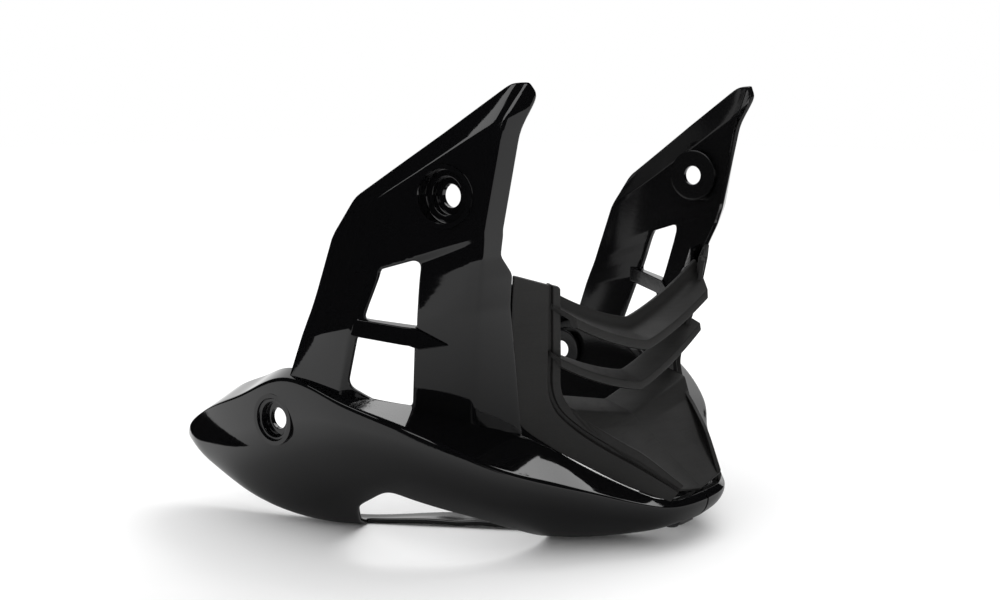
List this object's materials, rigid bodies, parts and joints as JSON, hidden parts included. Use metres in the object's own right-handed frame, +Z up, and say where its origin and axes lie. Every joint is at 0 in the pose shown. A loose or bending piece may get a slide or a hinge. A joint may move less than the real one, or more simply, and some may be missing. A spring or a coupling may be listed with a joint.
{
  "type": "motorcycle belly pan",
  "caption": "Belly pan for a small motorcycle: mirrored glossy side panels with scoops and bolt recesses, joined at the nose by a matte louvred centre panel.",
  "frame": {"origin": "middle of the bounding box at the floor the part stands on", "axes": "+X towards the nose, which points the way the motorcycle travels; +Y to the rider's left; +Z up"},
  "size_m": [0.2996, 0.298, 0.2561],
  "materials": {
    "gloss_black": "glossy",
    "grained_black": "fine grain",
    "black_screw": "satin",
    "joiner_black": "satin"
  },
  "bodies": {
    "root": {"left_side_panel": "gloss_black", "right_side_panel": "gloss_black", "centre_panel": "grained_black", "panel_screws": "black_screw", "nose_joiner": "joiner_black"}
  },
  "joints": []
}
